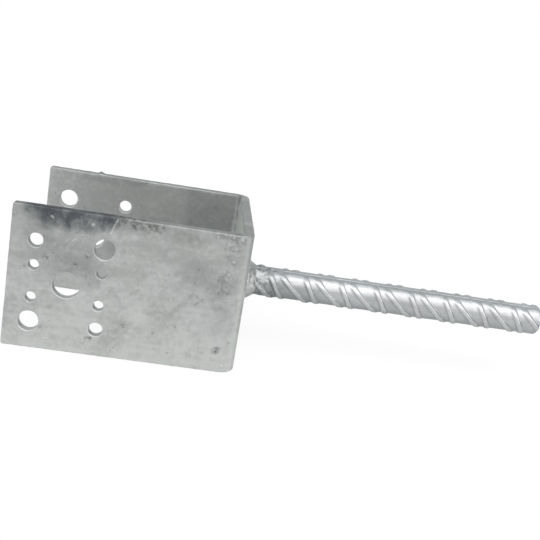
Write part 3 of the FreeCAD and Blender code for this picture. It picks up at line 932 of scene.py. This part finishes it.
# The first colour on the next line darkens smears and paints shade on the far wing's inner face.
SMEAR_AND_SHADE, SCUFF = (0.085, 0.095, 0.11, 1.0), (0.11, 0.115, 0.11, 1.0)
# The next line: light for scratches and painted highlights, and painted light on the holes' rims.
BRIGHT_SCRATCH_AND_HIGHLIGHT, RIM_LIGHT = (0.93, 0.95, 0.91, 1.0), (0.92, 0.93, 0.92, 1.0)
# The next line: painted shade for crevices, and dull zinc by the weld with painted shade on the
# bar's lower half.
CREVICE_SHADE, DULL_ZINC_AND_SHADE = (0.16, 0.17, 0.17, 1.0), (0.25, 0.265, 0.275, 1.0)
# The second colour on the next line is a painted highlight for the rib crests.
SOOT, CREST_HIGHLIGHT = (0.06, 0.065, 0.07, 1.0), (0.90, 0.91, 0.92, 1.0)


def mark_plate(n, place, base):
    """Lays smears, scuffs and scratches over the plate's colour, with painted shade on the far
    wing's inner face and in the crevices, and painted light on the near bend, the base's inner
    face and the holes' rims.
    """
    loose, shaken = strayed(n, place, 130.0, 4.0, 11 * MM), strayed(n, place, 420.0, 2.0, 1.6 * MM)
    specks = n.ramp(n.noise(place, 800.0, 3.0, 0.7), 0.60, 0.70, 1.0, 0.5)
    grit = n.ramp(n.noise(place, 380.0, 4.0, 0.75), 0.40, 0.60, 0.25, 1.0)
    base = n.mix(n.math("MULTIPLY", marked(n, loose, BLUE_STAINS_AND_SHADE), specks), base, SMEAR_AND_SHADE)
    base = n.mix(n.math("MULTIPLY", marked(n, shaken, DARK_MARKS), grit), base, SCUFF)
    base = n.mix(marked(n, shaken, SCRATCHES_AND_HIGHLIGHTS), base, BRIGHT_SCRATCH_AND_HIGHLIGHT)
    # Painted shade in the crevices and round the drops.
    base = n.mix(n.math("MULTIPLY", n.attribute("crevice"), 0.42), base, CREVICE_SHADE)
    # Painted light on the holes' rims and walls.
    return n.mix(n.math("MULTIPLY", n.attribute("hole_rim_light"), 0.35), base, RIM_LIGHT)


def mark_bar(n, place, base):
    """Dulls the bar towards the weld, paints shade on its lower half and underside, adds soot and
    paints highlights on the rib crests.
    """
    parts = n.parts(place)
    dull = n.ramp(parts["X"], 60 * MM, 8 * MM, 0.0, 0.33)
    # Painted shade: the bar is darker over its lower half and more so on its underside.
    side = n.ramp(parts["Z"], 3.2 * MM, 0.8 * MM, 0.0, 0.28)
    under = n.ramp(parts["Z"], -0.5 * MM, -8 * MM, 0.0, 0.35)
    base = n.mix(n.math("ADD", dull, n.math("ADD", side, under), clamp=True), base, DULL_ZINC_AND_SHADE)
    soot = n.math("MULTIPLY", n.ramp(n.noise(place, 620.0, 3.0, 0.7), 0.50, 0.60),
                  n.ramp(parts["X"], 28 * MM, 10 * MM, 0.0, 0.50))
    base = n.mix(soot, base, SOOT)
    # Painted highlight on the rib crests.
    return n.mix(n.ramp(n.attribute("rib_crest_highlight"), 0.35, 0.9, 0.0, 0.35), base, CREST_HIGHLIGHT)


STAIN_EDGE = 0.14                   # over how much of its noise a stain sets in


def opaque(colour, times=1.0):
    """A colour made lighter or darker, with its fourth part."""
    return (*(min(1.0, part * times) for part in colour), 1.0)


def zinc_material(name, colour, stain, look):
    """One zinc finish; look holds how cloudy, rough, stained and bumpy it is, and how much painted
    light by height it gets.
    """
    material = bpy.data.materials.new(name)
    n = emptied(material)
    place = n.add("ShaderNodeTexCoord").outputs["Object"]
    parts = n.parts(place)

    mottle = n.group("zinc_mottle", Place=place, Clouds=look["clouds"], Crystals=look["crystals"])
    relief = n.group("zinc_relief", Place=place, Waves=look["waves"], Peel=look["peel"],
                     Pimples=look["pimples"])
    scratches = n.group("handling_scratches", Place=place)["Scratches"]
    # Painted light: the tone is raised towards the bottom of the part and lowered towards its top.
    painted_light_by_height = n.ramp(parts["Z"], SADDLE_LOW.z, SADDLE_HIGH.z, look["painted_light_by_height"], -look["painted_light_by_height"])
    tone = n.math("ADD", mottle["Tone"], painted_light_by_height)

    base = n.mix(n.ramp(tone, 0.25, 0.78), opaque(colour, look["dark"]),
                 opaque(colour, look["light"]))
    stain_patch = n.noise(place, look["stain_scale"], 5.0, 0.65, 0.8)
    stained = n.ramp(stain_patch, look["stain_from"], look["stain_from"] + STAIN_EDGE)
    base = n.mix(n.math("MULTIPLY", stained, look["stain"]), base, opaque(stain))
    base = n.mix(n.math("MULTIPLY", relief["Pits"], 0.5), base, opaque(stain))
    base = n.mix(n.math("MULTIPLY", scratches, look["scratches"]), base, opaque(colour, 1.5))
    if look["marks"]:
        base = look["marks"](n, place, base)
    # Painted shade along the ribs' feet, in the stain's colour.
    base = n.mix(n.math("MULTIPLY", n.attribute("rib_foot"), look["rib_foot"]), base,
                 opaque(stain))

    rough = n.ramp(tone, 0.2, 0.8, look["rough"] + 0.10, look["rough"] - 0.06)
    rough = n.math("SUBTRACT", rough, n.math("MULTIPLY", scratches, 0.08))
    rough = n.math("ADD", rough, n.ramp(parts["X"], 45 * MM, 10 * MM, 0.0, look["near_weld"]))

    bump = n.add("ShaderNodeBump")
    n.feed(bump, Strength=look["bump"], Distance=0.1 * MM, Height=relief["Height"])
    shader = n.add("ShaderNodeBsdfPrincipled")
    n.feed(shader, Base_Color=base, Roughness=rough, Metallic=look["metallic"],
           Normal=bump.outputs["Normal"])
    out = n.add("ShaderNodeOutputMaterial")
    n.feed(out, Surface=shader.outputs["BSDF"])
    return material


# Each look's painted light by height makes its part lighter towards the bottom and darker towards
# the top.
PLATE_LOOK = {"clouds": 0.65, "crystals": 0.8, "waves": 1.6, "peel": 0.5, "pimples": 1.0,
              "dark": 0.80, "light": 1.16, "stain_scale": 38.0, "stain_from": 0.62, "stain": 0.25,
              "rough": 0.42, "metallic": 0.92, "bump": 0.5, "painted_light_by_height": 0.13, "scratches": 0.3,
              "marks": mark_plate, "rib_foot": 0.0, "near_weld": 0.0}
# On the bar, rib_foot is the strength of the painted shade along the ribs' feet.
BAR_LOOK = {"clouds": 0.8, "crystals": 0.5, "waves": 1.2, "peel": 0.6, "pimples": 0.6,
            "dark": 0.86, "light": 1.12, "stain_scale": 60.0, "stain_from": 0.64, "stain": 0.3,
            "rough": 0.25, "metallic": 0.97, "bump": 0.45, "painted_light_by_height": 0.0, "scratches": 0.2,
            "marks": mark_bar, "rib_foot": 0.22, "near_weld": 0.10}
WELD_LOOK = {"clouds": 1.0, "crystals": 0.5, "waves": 1.8, "peel": 0.4, "pimples": 0.3,
             "dark": 0.78, "light": 1.12, "stain_scale": 90.0, "stain_from": 0.58, "stain": 0.4,
             "rough": 0.34, "metallic": 0.94, "bump": 0.5, "painted_light_by_height": 0.0, "scratches": 0.0,
             "marks": None, "rib_foot": 0.0, "near_weld": 0.0}


# ------------ operators


class POSTBASE_OT_saddle(bpy.types.Operator):
    """Builds the bent flat bar with its punched holes"""

    bl_idname = "post_base.saddle"
    bl_label = "Build saddle"

    def execute(self, context):
        settings, zinc = context.scene.post_base_saddle, context.scene.post_base_zinc
        material = zinc_material("galvanised_plate", zinc.plate_colour, zinc.stain_and_shade_colour,
                                 PLATE_LOOK)
        verts, faces, edge_mask, hole_mask = build_saddle_mesh(settings)
        piece = piece_from("saddle_plate", verts, faces, material, "saddle")
        # Mask for the painted light on the holes' rims.
        paint(piece.data, "hole_rim_light", hole_mask)
        raise_zinc(piece, settings, edge_mask)
        return {"FINISHED"}


class POSTBASE_OT_bar(bpy.types.Operator):
    """Builds the ribbed bar with its crescent ribs and rounded cut end"""

    bl_idname = "post_base.bar"
    bl_label = "Build ribbed bar"

    def execute(self, context):
        bar, zinc = context.scene.post_base_bar, context.scene.post_base_zinc
        material = zinc_material("galvanised_bar", zinc.bar_colour, zinc.stain_and_shade_colour,
                                 BAR_LOOK)
        verts, faces, feet, crests = build_bar_mesh(bar)
        piece = piece_from("ribbed_bar", verts, faces, material, "anchor_rod")
        paint(piece.data, "rib_foot", feet)
        # Mask for the painted highlight on the rib crests.
        paint(piece.data, "rib_crest_highlight", crests)
        return {"FINISHED"}


class POSTBASE_OT_weld(bpy.types.Operator):
    """Builds the rippled weld bead round the bar's foot"""

    bl_idname = "post_base.weld"
    bl_label = "Build weld"

    def execute(self, context):
        bar, zinc = context.scene.post_base_bar, context.scene.post_base_zinc
        material = zinc_material("galvanised_weld", zinc.plate_colour, zinc.stain_and_shade_colour,
                                 WELD_LOOK)
        verts, faces = build_weld_mesh(bar)
        piece_from("weld_bead", verts, faces, material, "weld_fillet")
        return {"FINISHED"}


def set_camera(studio):
    """A camera that stands at a place, turned, dipped and rolled."""
    heading, dip, roll = studio.camera_heading, studio.camera_dip, studio.camera_roll
    ahead = Vector((math.sin(heading), math.cos(heading), 0))
    forward = ahead * math.cos(dip) - Vector((0, 0, math.sin(dip)))
    level = Vector((ahead.y, -ahead.x, 0))
    upright = level.cross(forward)
    right = level * math.cos(roll) + upright * math.sin(roll)
    up = right.cross(forward)
    data = bpy.data.cameras.new("camera")
    data.lens = studio.lens
    data.clip_start = 10 * MM
    camera = bpy.data.objects.new("camera", data)
    camera.matrix_world = Matrix.Translation(studio.camera_place) @ Matrix(
        (right, up, -forward)).transposed().to_4x4()
    bpy.context.scene.collection.objects.link(camera)
    bpy.context.scene.camera = camera


LAMP_TARGET = (0.02, 0.0, 0.0)
# Each lamp's name, place, width and height, and power.
LAMPS = (("overhead", (0.10, -0.50, 0.88), (1.3, 0.40), 0.8),
         ("side", (0.95, -0.62, 0.22), (0.35, 0.45), 0.6))


def soft_lamp(name, place, size, power):
    """An area lamp that faces the post base."""
    data = bpy.data.lights.new(name, "AREA")
    data.shape = "RECTANGLE"
    data.size, data.size_y = size
    data.energy = power
    lamp = bpy.data.objects.new(name, data)
    lamp.location = place
    aim = Vector(LAMP_TARGET) - Vector(place)
    lamp.rotation_euler = aim.to_track_quat("-Z", "Y").to_euler()
    bpy.context.scene.collection.objects.link(lamp)


# Light of the room for each direction, from the front horizon over the top to the back horizon.
ROOM = (
    (0.00, (0.74, 0.74, 0.74)), (0.09, (0.80, 0.80, 0.80)), (0.14, (1.00, 1.00, 1.00)),
    (0.22, (1.15, 1.15, 1.15)), (0.36, (1.12, 1.12, 1.12)), (0.46, (0.92, 0.93, 0.94)),
    (0.52, (0.68, 0.70, 0.71)), (0.58, (0.46, 0.485, 0.49)), (0.65, (0.34, 0.37, 0.375)),
    (0.72, (0.36, 0.39, 0.39)), (0.82, (0.49, 0.51, 0.515)), (1.00, (0.57, 0.58, 0.58)),
)


# How the room dims towards the sides: from and to which x of the direction, and by what share.
SIDES = ((-0.95, -0.45, 0.80, 1.0), (-0.35, -0.05, 0.88, 1.0), (0.70, 0.98, 1.0, 0.35))
WHITE = (1.0, 1.0, 1.0, 1.0)


def seen_rays(n, path):
    """1 for a ray that comes from the camera, straight or through something clear."""
    return n.math("MAXIMUM", path["Is Camera Ray"], path["Is Transmission Ray"])


def set_world():
    """A studio that is white to look at, bright over the front and greyer over the back."""
    world = bpy.data.worlds.new("studio")
    n = emptied(world)
    parts = n.parts(n.add("ShaderNodeTexCoord").outputs["Generated"])
    front = n.math("MULTIPLY", parts["Y"], -1.0)
    turn = n.math("DIVIDE", n.math("ARCTAN2", parts["Z"], front), math.pi)
    room = n.blend(turn, ROOM)
    for side in SIDES:
        room = n.vector("SCALE", room, n.ramp(parts["X"], *side))
    path = n.add("ShaderNodeLightPath").outputs
    shown = n.mix(seen_rays(n, path), room, WHITE)
    light = n.add("ShaderNodeBackground")
    n.feed(light, Color=shown, Strength=1.0)
    out = n.add("ShaderNodeOutputWorld")
    n.feed(out, Surface=light.outputs["Background"])
    bpy.context.scene.world = world


FLOOR_HALF, FLOOR_DROP = 4.0, 0.2 * MM          # half the floor's width, and how far it lies below
FLOOR_COLOUR = (0.82, 0.82, 0.81, 1.0)
FLOOR_WHITE = 1.15                  # the floor's own white, where rays look straight at it
SEEN_SHARE, MIRRORED_SHARE = 0.75, 0.15


def build_floor():
    """A wide pale floor, just under the flat bar's lower edges, that keeps a soft shadow."""
    mesh = bpy.data.meshes.new("floor")
    level = CAD_BOX[0][2] - FLOOR_DROP
    corners = [(x * FLOOR_HALF, y * FLOOR_HALF, level)
               for x, y in ((-1, -1), (1, -1), (1, 1), (-1, 1))]
    mesh.from_pydata(corners, [], [(0, 1, 2, 3)])
    material = bpy.data.materials.new("pale_floor")
    n = emptied(material)
    lit = n.feed(n.add("ShaderNodeBsdfDiffuse"), Color=FLOOR_COLOUR)
    glow = n.feed(n.add("ShaderNodeEmission"), Color=WHITE, Strength=FLOOR_WHITE)
    path = n.add("ShaderNodeLightPath").outputs
    share = n.math("MAXIMUM", n.math("MULTIPLY", seen_rays(n, path), SEEN_SHARE),
                   n.math("MULTIPLY", path["Is Glossy Ray"], MIRRORED_SHARE))
    both = n.add("ShaderNodeMixShader")
    n.put(both.inputs[0], share)
    n.put(both.inputs[1], lit.outputs["BSDF"])
    n.put(both.inputs[2], glow.outputs["Emission"])
    out = n.add("ShaderNodeOutputMaterial")
    n.feed(out, Surface=both.outputs["Shader"])
    mesh.materials.append(material)
    floor = bpy.data.objects.new("floor", mesh)
    bpy.context.scene.collection.objects.link(floor)


class POSTBASE_OT_studio(bpy.types.Operator):
    """Sets the camera, lamps, background and floor"""

    bl_idname = "post_base.studio"
    bl_label = "Set studio"

    def execute(self, context):
        set_camera(context.scene.post_base_studio)
        set_world()
        build_floor()
        for lamp in LAMPS:
            soft_lamp(*lamp)
        context.scene.view_settings.view_transform = "Standard"
        return {"FINISHED"}


class POSTBASE_PT_panel(bpy.types.Panel):
    """Lists the steps that dress the post base"""

    bl_idname = "POSTBASE_PT_panel"
    bl_label = "Post Base"
    bl_space_type = "VIEW_3D"
    bl_region_type = "UI"
    bl_category = "Post Base"

    def draw(self, context):
        for operator in OPERATORS:
            self.layout.operator(operator.bl_idname)
        for name, group in SETTINGS.items():
            box = self.layout.box()
            for prop in group.__annotations__:
                box.prop(getattr(context.scene, name), prop)


OPERATORS = (POSTBASE_OT_studio, POSTBASE_OT_saddle, POSTBASE_OT_bar, POSTBASE_OT_weld)
CLASSES = (*SETTINGS.values(), *OPERATORS, POSTBASE_PT_panel)


def register():
    for cls in CLASSES:
        bpy.utils.register_class(cls)
    for name, group in SETTINGS.items():
        setattr(bpy.types.Scene, name, bpy.props.PointerProperty(type=group))


def unregister():
    for name in SETTINGS:
        delattr(bpy.types.Scene, name)
    for cls in reversed(CLASSES):
        bpy.utils.unregister_class(cls)


def main():
    """Registers the classes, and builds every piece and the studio."""
    register()
    bpy.ops.post_base.studio()
    bpy.ops.post_base.saddle()
    bpy.ops.post_base.bar()
    bpy.ops.post_base.weld()


if __name__ == "__main__":
    main()
